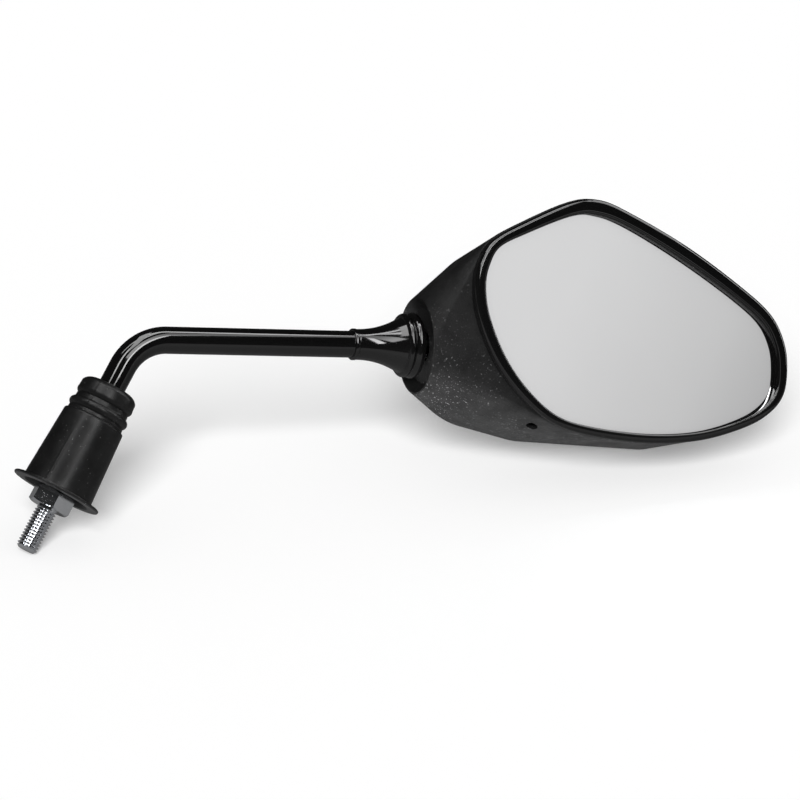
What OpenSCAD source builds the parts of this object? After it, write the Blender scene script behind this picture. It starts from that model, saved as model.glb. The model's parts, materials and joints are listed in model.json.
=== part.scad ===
// Motorcycle mirror: bent steel stalk with a threaded stud, ball joint, moulded head.
// Frame: origin on the stud axis where the free thread ends under the lock nut,
// +Z along the stud into the stalk, +X outward to the head, the glass faces -Y.

/* [Stalk] */
// Outside diameter of the steel tube
arm_dia = 12.5; // [11:0.5:14]
// Wall of the steel tube
arm_wall = 1.8; // [1.5:0.1:2.2]
// Height of the corner where the two straight runs would meet
leg_height = 87.3; // [80:0.1:110]
// Angle of the long run above the horizontal
arm_rise = 28; // [15:0.2:40]
// Radius of the bend on the tube's centre line
bend_radius = 23.6; // [20:0.2:30]
// Height of the tube's lower end
tube_base = 11; // [10.6:0.1:14]
// Diametral play of the plugs pressed into the tube
plug_play = 0.04; // [0.02:0.01:0.1]

/* [Mounting stud] */
// Thread size of the stud
stud_dia = 10; // [8:1:12]
// Diameter of the plain rolled shank inside the nut
shank_dia = 9.2; // [7:0.1:9.4]
// Free length of thread below the nut
stud_length = 21; // [17:0.5:38]
// Chamfer at the tip of the stud
stud_chamfer = 1.3; // [0.5:0.1:2]
// Depth of the stud's plug inside the tube
stud_plug = 22; // [12:1:36]
// Thickness of the shoulders that close the tube's ends
shoulder_thick = 1.5; // [1:0.1:2.5]

/* [Lock nut] */
// Width of the nut across its flats
nut_across = 18; // [16:0.5:19]
// Height of the nut
nut_height = 8.4; // [7:0.2:8.6]
// Gap between the free thread's end and the nut
nut_gap = 0.3; // [0.2:0.1:0.6]
// Radial play of the nut on the shank
nut_play = 0.05; // [0.03:0.01:0.1]
// Turn of the nut's corners from the X axis
nut_turn = 25; // [0:1:59]

/* [Rubber boot] */
// Height of the boot's flange above the origin
boot_base = 8; // [6:0.2:11]
// Overall height of the boot
boot_height = 54.5; // [50:0.5:57]
// Diameter of the flange
boot_flange_dia = 42.3; // [39:0.1:46]
// Thickness of the flange
boot_flange_thick = 1.4; // [1.1:0.1:2.2]
// Diameter of the body above the flange
boot_low_dia = 33.4; // [31:0.1:36]
// Diameter of the body below the ribs
boot_top_dia = 29.5; // [28.4:0.1:31]
// Thickness of the rubber
boot_wall = 2.1; // [1.7:0.1:2.6]
// Height of the lip that grips the tube
boot_grip = 4.6; // [3.6:0.1:6]
// Radial play of the lip on the tube
boot_play = 0.05; // [0.03:0.01:0.1]

/* [Collar] */
// Distance from the small end to the open mouth
collar_length = 32.4; // [29:0.1:34]
// Diameter of the small end
collar_small_dia = 14.8; // [14:0.1:17]
// Diameter of the ring at the mouth
collar_mouth_dia = 31; // [29:0.2:32.6]
// Wall of the collar at its mouth
collar_wall = 2.2; // [1.6:0.1:2.8]
// Radial play of the collar on the tube
collar_play = 0.03; // [0.02:0.01:0.1]

/* [Ball joint] */
// Distance from the corner to the centre of the ball
ball_reach = 156.4; // [155:0.2:164]
// Diameter of the ball
ball_dia = 16; // [14.5:0.5:17]
// Diameter of the neck behind the ball
neck_dia = 8.2; // [7.2:0.1:8.6]
// Distance from the tube's upper end to the centre of the ball
neck_reach = 32.8; // [28:0.2:38]
// Depth of the ball stud's plug inside the tube
ball_plug = 22; // [12:1:36]
// Thickness of the liner and the cup around the ball
liner_thick = 1.8; // [1.4:0.1:2.2]
// Radial play between the spherical faces
ball_play = 0.05; // [0.03:0.01:0.1]
// Diameter of the hole in the head that the neck passes through
neck_hole_dia = 15.6; // [14.6:0.2:17]
// Wall of the socket around the liner
socket_wall = 1.9; // [1.5:0.1:2.3]
// Diameter of the socket's flange
socket_flange_dia = 36.4; // [35:0.2:37.4]
// Thickness of the socket's flange
socket_flange_thick = 3.6; // [3:0.2:4.6]
// Diameter of the circle that the joint's screws lie on
screw_circle_dia = 29.6; // [29.2:0.1:30]
// Diameter of the pressure plate
plate_dia = 33.6; // [32:0.2:35]
// Thickness of the pressure plate
plate_thick = 2.7; // [2.3:0.1:3.2]
// Thread diameter of the joint's screws
joint_screw_dia = 3.5; // [3:0.5:4]
// Radial play of the screws in their holes
screw_play = 0.1; // [0.05:0.05:0.2]
// Number of disc springs under each clamp screw
spring_count = 3; // [2:1:4]

/* [Head] */
// Width of the rim
rim_w = 170.1; // [155:0.2:182]
// Height of the rim
rim_h = 107.6; // [96:0.2:114]
// Distance from the ball to the middle of the rim, outward
rim_out = 66.7; // [62:0.1:71]
// Distance from the ball to the middle of the rim, upward
rim_up = 41.1; // [38:0.1:46]
// Distance from the ball to the front of the rim
rim_front = 29.1; // [28.4:0.1:33]
// Diameter of the round seat face round the collar
seat_dia = 45.6; // [42:0.2:46.4]
// Distance from the edge plane of the seat to the ball
seat_reach = 19.4; // [18.6:0.1:20.6]
// Gap between the collar's mouth and the edge plane of the seat
seat_gap = 0.1; // [0:0.1:2]
// Depth of the dished seat that lets the head tilt round the collar
seat_depth = 3.7; // [3.3:0.1:5]
// Thickness of the seat's floor
seat_floor_thick = 3.7; // [3:0.1:4.2]
// Diameter of the seat's floor
seat_floor_dia = 35.4; // [34:0.2:37]
// Distance from the ball to the back of the head
back_depth = 23.6; // [22:0.2:29]
// Wall of the moulded shell
shell_wall = 2.4; // [2:0.1:2.8]
// Diameter of the drain hole
drain_dia = 4.6; // [2.6:0.1:5]

/* [Rim and glass] */
// Depth of rim that stands out of the shell
bezel_depth = 5.6; // [5:0.1:6.4]
// Width of the rim's front face
bezel_face = 6.6; // [6:0.1:8]
// Depth of the glass below the rim's front
glass_sink = 4.2; // [3:0.1:5.4]
// Thickness of the glass
glass_thick = 2; // [1.8:0.1:2.6]
// Width of glass that lies under the rim
glass_lap = 1.8; // [1:0.1:2.2]
// Thickness of the bonding pad behind the glass
pad_thick = 0.9; // [0.6:0.1:1.4]
// Thickness of the backing plate
backing_thick = 2.2; // [2:0.1:2.6]
// Diameter of the screws that hold the backing plate
backing_screw_dia = 3.5; // [3:0.5:4]
// Outside diameter of the bosses for those screws
boss_dia = 8.4; // [7.6:0.2:9.4]

/* [Hidden] */
$fn = 96;
hull_fn = 36;
eps = 0.01;

gloss_black = [0.05, 0.05, 0.055];
matte_black = [0.16, 0.16, 0.16];
zinc = [0.8, 0.82, 0.84];

arm_tilt = 90 - arm_rise;
bend_leg = bend_radius * tan(arm_tilt / 2);
arm_bore = arm_dia - 2 * arm_wall;
plug_r = (arm_bore - plug_play) / 2;
shoulder_r = arm_dia / 2 - 0.4;
tube_reach = ball_reach - neck_reach;
seat_plane = ball_reach - seat_reach;
collar_start = seat_plane - seat_gap - collar_length;
ball_r = ball_dia / 2;
liner_r = ball_r + ball_play;
socket_r = liner_r + liner_thick + ball_play;
ball_centre = [ball_reach * sin(arm_tilt), 0, leg_height + ball_reach * cos(arm_tilt)];

// Moves its children from the head's frame to the ball's centre
module at_ball() {
  translate(ball_centre)
    children();
}

// Stands its children on the long run's axis, a distance out from the corner
module along_arm(distance) {
  translate([0, 0, leg_height])
    rotate([0, arm_tilt, 0])
      translate([0, 0, distance])
        children();
}

// Turns a half outline of [radius, height] points into a solid
module turned(profile) {
  rotate_extrude()
    polygon(profile);
}

// Points of an arc from one angle to another, round a centre
function arc(centre, r, from, to, steps) =
  [for (k = [0:steps]) centre + r * [cos(from + (to - from) * k / steps), sin(from + (to - from) * k / steps)]];

// Stalk

module tube_ring() {
  difference() {
    circle(d = arm_dia);
    circle(d = arm_bore);
  }
}

module arm_tube() {
  color(gloss_black) {
    translate([0, 0, tube_base])
      linear_extrude(leg_height - bend_leg - tube_base)
        tube_ring();
    translate([bend_radius, 0, leg_height - bend_leg])
      rotate([90, 0, 0])
        rotate_extrude(start = 180 - arm_tilt, angle = arm_tilt)
          translate([bend_radius, 0])
            tube_ring();
    along_arm(bend_leg)
      linear_extrude(tube_reach - bend_leg)
        tube_ring();
  }
}

module mount_stud() {
  color(zinc)
    turned([
      [0, -stud_length],
      [stud_dia / 2 - stud_chamfer, -stud_length],
      [stud_dia / 2, -stud_length + stud_chamfer],
      [stud_dia / 2, 0],
      [shank_dia / 2, 0],
      [shank_dia / 2, tube_base - shoulder_thick],
      [shoulder_r, tube_base - shoulder_thick],
      [shoulder_r, tube_base],
      [plug_r, tube_base],
      [plug_r, tube_base + stud_plug - 1],
      [plug_r - 1, tube_base + stud_plug],
      [0, tube_base + stud_plug]]);
}

module lock_nut() {
  corner_r = nut_across / sqrt(3);
  face_r = nut_across / 2 - 0.3;
  outer_r = corner_r + 1;
  bevel_height = (outer_r - face_r) * tan(30);
  color(zinc)
    translate([0, 0, nut_gap])
      difference() {
        intersection() {
          rotate([0, 0, nut_turn])
            cylinder(h = nut_height, r = corner_r, $fn = 6);
          turned([
            [0, 0],
            [face_r, 0],
            [outer_r, bevel_height],
            [outer_r, nut_height - bevel_height],
            [face_r, nut_height],
            [0, nut_height]]);
        }
        translate([0, 0, -1])
          cylinder(h = nut_height + 2, d = shank_dia + 2 * nut_play);
      }
}

// Boot: a thin flange, a tapered body, two rounded ribs and a lip on the tube

boot_body = boot_height * 0.683;
boot_flange_r = boot_flange_dia / 2;
boot_low_r = boot_low_dia / 2;
boot_top_r = boot_top_dia / 2;
groove_r = boot_top_r - 1;
rib_r = 2.4;
low_rib_z = boot_body + 4.2;
high_rib_z = low_rib_z + 6.5;
shoulder_round = 4.7;

module rubber_boot() {
  outer = concat(
    [[boot_low_r - boot_wall + 1.4, 0]],
    arc([boot_flange_r - 0.75, 0.75], 0.75, -90, 90, 6),
    [[boot_low_r + 0.8, boot_flange_thick], [boot_low_r, boot_flange_thick + 0.8]],
    [[boot_top_r, boot_body - 0.8], [boot_top_r - 0.3, boot_body]],
    [[groove_r - 0.2, boot_body + 0.8], [groove_r - 0.2, low_rib_z - rib_r - 0.2]],
    arc([groove_r - rib_r + 0.7, low_rib_z], rib_r, -60, 60, 8),
    [[groove_r - 0.9, low_rib_z + rib_r + 0.3], [groove_r - 0.9, high_rib_z - rib_r - 0.3]],
    arc([groove_r - rib_r, high_rib_z], rib_r, -60, 20, 6),
    arc([groove_r - shoulder_round + 0.1, boot_height - shoulder_round], shoulder_round, 25, 85, 6),
    [[arm_dia / 2 + 1, boot_height + 0.2], [arm_dia / 2 + boot_play, boot_height - 0.6]]);
  inner = [
    [arm_dia / 2 + boot_play, boot_height - boot_grip],
    [arm_dia / 2 + 2, boot_height - boot_grip],
    [groove_r - boot_wall - 1.4, high_rib_z - 1],
    [groove_r - boot_wall - 1.4, boot_body + 3],
    [boot_top_r - boot_wall, boot_body - 2],
    [boot_low_r - boot_wall, boot_flange_thick + 1]];
  color([0.11, 0.11, 0.11])
    translate([0, 0, boot_base])
      turned(concat(outer, inner));
}

// Collar: a trumpet with a small lip at the stalk and two bead rings at the mouth

mouth_r = collar_mouth_dia / 2;
bead_r = 1.75;
ring_r = 2.4;
bead_back = 6.5;

module collar() {
  small_r = collar_small_dia / 2;
  flare = [for (k = [0:8]) let (t = k / 8)
    [small_r - 0.2 + (mouth_r - 2.4 - small_r) * pow(t, 2.1), 2.4 + (collar_length - bead_back - 4.3) * t]];
  outer = concat(
    [[small_r - 0.4, 0], [small_r, 0.4], [small_r, 1.6], [small_r - 0.25, 2]],
    flare,
    arc([mouth_r - 0.5 - bead_r, collar_length - bead_back], bead_r, -70, 62, 7),
    arc([mouth_r - ring_r, collar_length - ring_r - 0.1], ring_r, -55, 70, 8),
    [[mouth_r - ring_r, collar_length]]);
  inner = [
    [mouth_r - ring_r - 0.8, collar_length],
    [mouth_r - ring_r - collar_wall + 0.6, collar_length - 2],
    [mouth_r - ring_r - collar_wall, collar_length - 7],
    [arm_dia / 2 + collar_play, collar_length - 15],
    [arm_dia / 2 + collar_play, 0]];
  color(gloss_black)
    along_arm(collar_start)
      turned(concat(outer, inner));
}

// Ball joint, drawn on the long run's axis with the ball's centre at zero

module ball_stud() {
  plug_end = tube_reach - ball_reach;
  color(zinc)
    along_arm(ball_reach) {
      difference() {
        sphere(r = ball_r);
        translate([0, 0, ball_r - 1])
          cylinder(h = 2, r = ball_r);
      }
      translate([0, 0, plug_end])
        cylinder(h = -plug_end - ball_r + 2, d = neck_dia);
      translate([0, 0, plug_end])
        cylinder(h = shoulder_thick, r = shoulder_r);
      translate([0, 0, plug_end - ball_plug])
        cylinder(h = ball_plug, r = plug_r);
    }
}

// Part of a spherical wall between two planes across the axis
module ball_wall(low, high, hole_r) {
  difference() {
    intersection() {
      sphere(r = liner_r + liner_thick);
      translate([0, 0, low])
        cylinder(h = high - low, r = socket_r + 2);
    }
    sphere(r = liner_r);
    translate([0, 0, low - 1])
      cylinder(h = high - low + 2, r = hole_r);
  }
}

liner_low = -6.3;
liner_high = -1.35;
cup_low = 1.35;
cup_high = 7.1;

module seat_liner() {
  color([0.9, 0.9, 0.86])
    along_arm(ball_reach)
      ball_wall(liner_low, liner_high, neck_dia / 2 + 1);
}

module pressure_cup() {
  color([0.9, 0.9, 0.86])
    along_arm(ball_reach)
      ball_wall(cup_low, cup_high, 3.1);
}

// The joint's stack along the axis, from the neck wall inward
flange_low = seat_depth + seat_floor_thick - seat_reach;
flange_high = flange_low + socket_flange_thick;
barrel_high = -0.2;
post_high = 1.35;
plate_low = 5;
plate_high = plate_low + plate_thick;
spring_thick = 1;
spring_stack = spring_count * spring_thick;
joint_screw_r = joint_screw_dia / 2;
screw_circle_r = screw_circle_dia / 2;
joint_head_r = 2.6;
clamp_head_r = 3;
post_r = screw_circle_r - socket_r - socket_wall + 0.3;

// Three copies round the joint's axis
module three_round(turn) {
  for (k = [0:2])
    rotate([0, 0, turn + 120 * k])
      translate([screw_circle_r, 0, 0])
        children();
}

module ball_socket() {
  color([0.62, 0.63, 0.64])
    along_arm(ball_reach)
      difference() {
        union() {
          translate([0, 0, flange_low])
            cylinder(h = socket_flange_thick, d = socket_flange_dia);
          translate([0, 0, flange_low])
            cylinder(h = barrel_high - flange_low, r = socket_r + socket_wall);
          three_round(0)
            translate([0, 0, flange_low])
              cylinder(h = post_high - flange_low, r = post_r);
        }
        sphere(r = socket_r);
        translate([0, 0, flange_low - 1])
          cylinder(h = socket_r, d = neck_hole_dia);
        three_round(0)
          translate([0, 0, flange_low + 2])
            cylinder(h = post_high - flange_low, r = joint_screw_r + screw_play);
        three_round(60)
          translate([0, 0, flange_low - 1])
            cylinder(h = socket_flange_thick + 2, r = joint_screw_r + screw_play);
      }
}

module pressure_plate() {
  color(zinc)
    along_arm(ball_reach)
      difference() {
        translate([0, 0, plate_low])
          cylinder(h = plate_thick, d = plate_dia);
        sphere(r = socket_r);
        three_round(0)
          translate([0, 0, plate_low - 1])
            cylinder(h = plate_thick + 2, r = joint_screw_r + screw_play);
      }
}

module disc_springs() {
  outer_r = clamp_head_r + 0.4;
  inner_r = joint_screw_r + 2 * screw_play;
  color(zinc)
    along_arm(ball_reach)
      three_round(0)
        for (k = [0:spring_count - 1])
          translate([0, 0, plate_high + k * spring_thick])
            turned([
              [inner_r, 0.5],
              [outer_r, 0],
              [outer_r, 0.5],
              [inner_r, 1]]);
}

// A pan-head screw: its seat is at zero, its shank points down
module pan_screw(head_r, head_height, length, r) {
  difference() {
    union() {
      cylinder(h = head_height * 0.6, r = head_r);
      translate([0, 0, head_height * 0.6])
        cylinder(h = head_height * 0.4, r1 = head_r, r2 = head_r * 0.72);
    }
    for (turn = [0, 90])
      rotate([0, 0, turn])
        translate([-head_r * 0.55, -0.4, head_height - 1])
          cube([head_r * 1.1, 0.8, 2]);
  }
  translate([0, 0, -length])
    cylinder(h = length + 0.5, r = r);
}

module clamp_screws() {
  color(zinc)
    along_arm(ball_reach)
      three_round(0)
        translate([0, 0, plate_high + spring_stack])
          pan_screw(clamp_head_r, 2.4, plate_high + spring_stack - flange_low - 4, joint_screw_r);
}

socket_screw_bite = 2.6;

module socket_screws() {
  color(zinc)
    along_arm(ball_reach)
      three_round(60)
        translate([0, 0, flange_high])
          pan_screw(joint_head_r, 2.2, socket_flange_thick + socket_screw_bite, joint_screw_r);
}

// Rim outline: a closed smooth curve through points given as shares of half the rim's
// width and height, counted from its middle, with the share of the full face width there

rim_shape = [
  [0.487, 0.947, 1.06], [0.08, 0.998, 1.13], [-0.31, 0.982, 1.07], [-0.529, 0.932, 1.19],
  [-0.68, 0.77, 1.01], [-0.877, 0.379, 0.83], [-0.982, 0.118, 0.73], [-0.998, -0.108, 0.83],
  [-0.956, -0.319, 0.85], [-0.844, -0.558, 0.88], [-0.643, -0.8, 0.85], [-0.414, -0.946, 0.72],
  [-0.18, -1, 0.63], [0.053, -0.925, 0.66], [0.382, -0.716, 0.68], [0.658, -0.452, 0.66],
  [0.865, -0.149, 0.67], [0.968, 0.085, 0.74], [1, 0.3, 0.89], [0.953, 0.523, 0.98],
  [0.862, 0.722, 1], [0.715, 0.875, 1.03]];
rim_steps = 5;

function curve_point(a, b, c, d, t) =
  (2 * b + (c - a) * t + (2 * a - 5 * b + 4 * c - d) * t * t + (3 * b - a - 3 * c + d) * t * t * t) / 2;

function smooth_loop(shape, steps) =
  let (n = len(shape))
  [for (i = [0:n - 1], k = [0:steps - 1])
    curve_point(shape[(i + n - 1) % n], shape[i], shape[(i + 1) % n], shape[(i + 2) % n], k / steps)];

rim_curve = smooth_loop(rim_shape, rim_steps);
rim_loop = [for (p = rim_curve) [rim_out + p[0] * rim_w / 2, rim_up + p[1] * rim_h / 2]];
rim_count = len(rim_loop);
rim_normals = [for (i = [0:rim_count - 1])
  let (t = rim_loop[(i + 1) % rim_count] - rim_loop[(i + rim_count - 1) % rim_count])
  [t[1], -t[0]] / norm(t)];

// The rim outline moved inward by a distance, less where the face is narrow
function rim_inset(distance) =
  [for (i = [0:rim_count - 1]) rim_loop[i] - distance * rim_curve[i][2] * rim_normals[i]];

// A flat piece of the rim's outline between two depths, front first
module rim_plate(inset, front, back) {
  translate([0, back, 0])
    rotate([90, 0, 0])
      linear_extrude(back - front)
        polygon(rim_inset(inset));
}

// Sweeps a closed section of [inset, depth] points round the rim
module rim_sweep(section) {
  n = len(section);
  points = [for (q = section, p = rim_inset(q[0])) [p[0], q[1], p[1]]];
  faces = [for (j = [0:n - 1], i = [0:rim_count - 1], half = [0, 1])
    let (
      a = j * rim_count + i,
      b = j * rim_count + (i + 1) % rim_count,
      c = (j + 1) % n * rim_count + (i + 1) % rim_count,
      d = (j + 1) % n * rim_count + i)
    half == 0 ? [a, c, b] : [a, d, c]];
  polyhedron(points = points, faces = faces, convexity = 6);
}

// Housing: the hull of the front edge, the round seat, the lower crease and the back,
// each round form as [outward, upward, radius] from the ball, in shares of the rim's width

shell_front = -rim_front + bezel_depth;
back_forms = rim_w * [[0.0964, 0.0312, 0.2093], [0.2469, 0.0494, 0.1899], [0.5944, 0.174, 0.1558], [0.6925, 0.2404, 0.107],
  [0.5985, 0.3974, 0.0964], [0.3204, 0.3686, 0.107], [0.0506, 0.1564, 0.1534]];
back_straight = 0.54 * back_depth;
back_round = 0.76 * back_depth;
// Corners of the lower crease as [outward, depth, upward] from the ball
crease_line = rim_w * [[-0.0306, -0.0165, -0.1705], [0.0353, -0.0459, -0.1581], [0.1352, -0.0623, -0.1376],
  [0.2557, -0.0705, -0.1135], [0.3686, -0.0617, -0.0841]];
crease_r = 0.8;

// A thin disc facing front and back
module depth_disc(form, depth, shrink) {
  translate([form[0], depth, form[1]])
    rotate([90, 0, 0])
      cylinder(h = 0.1, r = max(form[2] - shrink, 1), center = true, $fn = hull_fn);
}

// The shell's outer form, drawn smaller all round by a distance
module shell_form(less) {
  seat_r = seat_dia / 2 - less;
  hull() {
    rim_plate(0.1 + less, shell_front + less, shell_front + less + 0.8);
    rotate([0, arm_tilt, 0])
      translate([0, 0, less - seat_reach])
        cylinder(h = 1, r = seat_r, $fn = 64);
    for (corner = crease_line)
      translate([0, 0.65 * less, 0.9 * less])
        depth_disc([corner[0], corner[2], crease_r], corner[1], 0);
    for (turn = [0:30:90], form = back_forms)
      depth_disc(form, back_straight + (back_depth - less - back_straight) * sin(turn),
        less + back_round * (1 - cos(turn)));
  }
}

boss_places = rim_w * [[-0.329, 0.118], [-0.041, -0.203], [0.256, -0.096], [0.353, 0.182]];
backing_front = -rim_front + glass_sink + glass_thick + pad_thick;
backing_back = backing_front + backing_thick;
backing_screw_r = backing_screw_dia / 2;
backing_bite = 12;

module at_bosses() {
  for (place = boss_places)
    translate([rim_out + place[0], backing_back, rim_up + place[1]])
      rotate([-90, 0, 0])
        children();
}

// The drain hole lies on the lower crease: two bores that run into each other
drain_place = rim_w * [0.2741, -0.1017, -0.1007];
drain_turn = [0, 140, -80];

module housing_shell() {
  color(matte_black)
    at_ball()
      difference() {
        union() {
          difference() {
            shell_form(0);
            shell_form(shell_wall);
            rim_plate(0.1 + shell_wall, shell_front - 1, shell_front + shell_wall + 0.4);
          }
          intersection() {
            at_bosses()
              cylinder(h = 2 * back_depth + rim_front, d = boss_dia);
            shell_form(shell_wall / 2);
          }
          rotate([0, arm_tilt, 0])
            translate([0, 0, 0.5 - seat_reach])
              cylinder(h = seat_depth + seat_floor_thick - 0.5, d = seat_dia - 2 * shell_wall + 1.2);
        }
        rotate([0, arm_tilt, 0]) {
          translate([0, 0, -seat_reach - eps])
            cylinder(h = seat_depth + eps, d1 = seat_dia - 1.6, d2 = seat_floor_dia);
          translate([0, 0, -seat_reach])
            cylinder(h = seat_depth + seat_floor_thick + 1, d = neck_hole_dia);
          three_round(60)
            translate([0, 0, flange_low - socket_screw_bite - 0.4])
              cylinder(h = socket_screw_bite + 2, r = joint_screw_r + screw_play);
        }
        at_bosses()
          translate([0, 0, -1])
            cylinder(h = backing_bite + 2, r = backing_screw_r + screw_play);
        translate(drain_place)
          rotate(drain_turn)
            for (side = [-1, 1])
              translate([0, side * drain_dia * 0.13, 0])
                cylinder(h = 4 * shell_wall, d = drain_dia, center = true);
      }
}

// Rim: the section starts at its outer foot and runs over the front to the lip

module bezel() {
  front = -rim_front;
  foot = shell_front;
  tongue = shell_wall + 0.35;
  lip = bezel_face + 0.3;
  glass_edge = lip - glass_lap - 0.15;
  glass_front = front + glass_sink;
  section = concat(
    [[0.3, foot - 0.05], [0.3, front + 2.4]],
    [for (q = arc([2.5, front + 2.2], 2.2, 180, 270, 5)) q],
    [[bezel_face - 1.4, front + 0.25], [bezel_face - 0.5, front + 0.8],
     [bezel_face, front + 1.6], [lip, front + 2.2], [lip, glass_front - 0.05],
     [glass_edge, glass_front - 0.05], [glass_edge, glass_front + glass_thick],
     [tongue + 1.4, backing_front], [tongue + 1.4, foot + 2.2],
     [tongue + 0.4, foot + 2.8], [tongue, foot + 2.2], [tongue, foot - 0.05]]);
  color(gloss_black)
    at_ball()
      rim_sweep(section);
}

module mirror_glass() {
  front = -rim_front + glass_sink;
  color([0.75, 0.77, 0.8])
    at_ball()
      rim_plate(bezel_face + 0.3 - glass_lap, front, front + glass_thick);
}

module glass_pad() {
  front = -rim_front + glass_sink + glass_thick;
  color([0.25, 0.25, 0.26])
    at_ball()
      difference() {
        rim_plate(bezel_face + 2, front, front + pad_thick);
        at_bosses()
          translate([0, 0, -backing_thick - pad_thick - 1])
            cylinder(h = pad_thick + 2, r = 2 * backing_screw_r + 0.6);
      }
}

// Stiffening ribs behind the plate, each as [outward, upward, length, turn]
rib_thick = 1.4;
rib_height = 3;
rib_lines = [[-20, -33, 74, 90], [27, -28, 70, 90], [-36, 4, 100, 0]];

module backing_ribs() {
  for (line = rib_lines)
    translate([rim_out + line[0], backing_back - eps, rim_up + line[1]])
      rotate([0, -line[3], 0])
        translate([0, 0, -rib_thick / 2])
          cube([line[2], rib_height, rib_thick]);
}

module backing_plate() {
  color([0.2, 0.2, 0.2])
    at_ball()
      difference() {
        union() {
          rim_plate(shell_wall + 2.1, backing_front, backing_back);
          backing_ribs();
        }
        at_bosses()
          translate([0, 0, -backing_thick - 1])
            cylinder(h = backing_thick + 2, r = backing_screw_r + screw_play);
        at_bosses()
          translate([0, 0, -backing_thick - eps])
            cylinder(h = backing_screw_r + 2 * eps, r1 = 2 * backing_screw_r + screw_play, r2 = backing_screw_r + screw_play);
      }
}

module backing_screws() {
  color(zinc)
    at_ball()
      at_bosses() {
        translate([0, 0, -backing_thick])
          cylinder(h = backing_screw_r, r1 = 2 * backing_screw_r, r2 = backing_screw_r);
        translate([0, 0, -backing_thick + backing_screw_r])
          cylinder(h = backing_bite + backing_thick - backing_screw_r, r = backing_screw_r);
      }
}

arm_tube();
mount_stud();
lock_nut();
rubber_boot();
collar();
ball_stud();
seat_liner();
pressure_cup();
ball_socket();
pressure_plate();
disc_springs();
clamp_screws();
socket_screws();
housing_shell();
bezel();
mirror_glass();
glass_pad();
backing_plate();
backing_screws();
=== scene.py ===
import json
from math import cos, pi, radians, sin, tan

import bmesh
import bpy
from mathutils import Matrix, Vector


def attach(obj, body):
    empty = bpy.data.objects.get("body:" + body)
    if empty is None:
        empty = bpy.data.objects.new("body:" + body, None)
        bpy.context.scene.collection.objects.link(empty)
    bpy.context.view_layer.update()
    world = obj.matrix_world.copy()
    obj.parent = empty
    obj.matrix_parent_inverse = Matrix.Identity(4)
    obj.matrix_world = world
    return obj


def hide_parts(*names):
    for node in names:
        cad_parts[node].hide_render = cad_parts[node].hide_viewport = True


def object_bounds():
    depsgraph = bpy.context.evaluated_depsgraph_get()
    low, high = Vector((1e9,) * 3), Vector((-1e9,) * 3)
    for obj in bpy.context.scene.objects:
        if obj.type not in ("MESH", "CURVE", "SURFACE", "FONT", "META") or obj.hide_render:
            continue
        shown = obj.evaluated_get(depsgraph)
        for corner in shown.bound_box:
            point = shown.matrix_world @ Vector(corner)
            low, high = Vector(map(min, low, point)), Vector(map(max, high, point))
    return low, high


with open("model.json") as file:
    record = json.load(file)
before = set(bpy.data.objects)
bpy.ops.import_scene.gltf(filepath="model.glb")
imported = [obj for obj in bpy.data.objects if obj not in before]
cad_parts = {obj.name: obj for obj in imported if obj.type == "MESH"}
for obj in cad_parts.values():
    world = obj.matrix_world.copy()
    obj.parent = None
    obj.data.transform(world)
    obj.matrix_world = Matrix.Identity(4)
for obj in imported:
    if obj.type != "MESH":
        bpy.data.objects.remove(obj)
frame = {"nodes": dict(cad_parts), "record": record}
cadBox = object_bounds()
nodes = frame["nodes"]
scene = bpy.context.scene
mm = 0.001


# Camera

shot = {
    "right": Vector((0.810543, -0.37451, 0.450182)),
    "up": Vector((-0.482428, 0.008765, 0.87589)),
    "toward": Vector((-0.332, -0.9272, -0.1736)),
    "place": Vector((-0.4331, -1.5623, -0.1670)),
    "lens": 162.0,      # on a 36 mm sensor
}


def makeCamera():
    data = bpy.data.cameras.new("photoCamera")
    data.lens = shot["lens"]
    data.sensor_width = 36
    data.clip_end = 20
    camera = bpy.data.objects.new("photoCamera", data)
    turn = Matrix((shot["right"], shot["up"], shot["toward"])).transposed()
    camera.matrix_world = Matrix.Translation(shot["place"]) @ turn.to_4x4()
    scene.collection.objects.link(camera)
    scene.camera = camera


makeCamera()
print("camera set")


# Shader expressions

class Val:
    # wraps a node's output, so that plain arithmetic adds Math nodes
    def __init__(self, tree, socket):
        self.tree, self.socket = tree, socket

    def math(self, operation, *others, clamp=False):
        return self.tree.add("ShaderNodeMath", {"operation": operation, "use_clamp": clamp}, [self, *others])

    def __add__(self, other):
        return self.math("ADD", other)

    def __radd__(self, other):
        return self.math("ADD", other)

    def __sub__(self, other):
        return self.math("SUBTRACT", other)

    def __rsub__(self, other):
        return self.tree.num(other).math("SUBTRACT", self)

    def __mul__(self, other):
        return self.math("MULTIPLY", other)

    def __rmul__(self, other):
        return self.math("MULTIPLY", other)

    def __truediv__(self, other):
        return self.math("DIVIDE", other)

    def __rtruediv__(self, other):
        return self.tree.num(other).math("DIVIDE", self)

    def __abs__(self):
        return self.math("ABSOLUTE")

    def over(self, edge):
        return self.math("GREATER_THAN", edge)

    def clamp(self):
        return self.math("ADD", 0.0, clamp=True)


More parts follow.
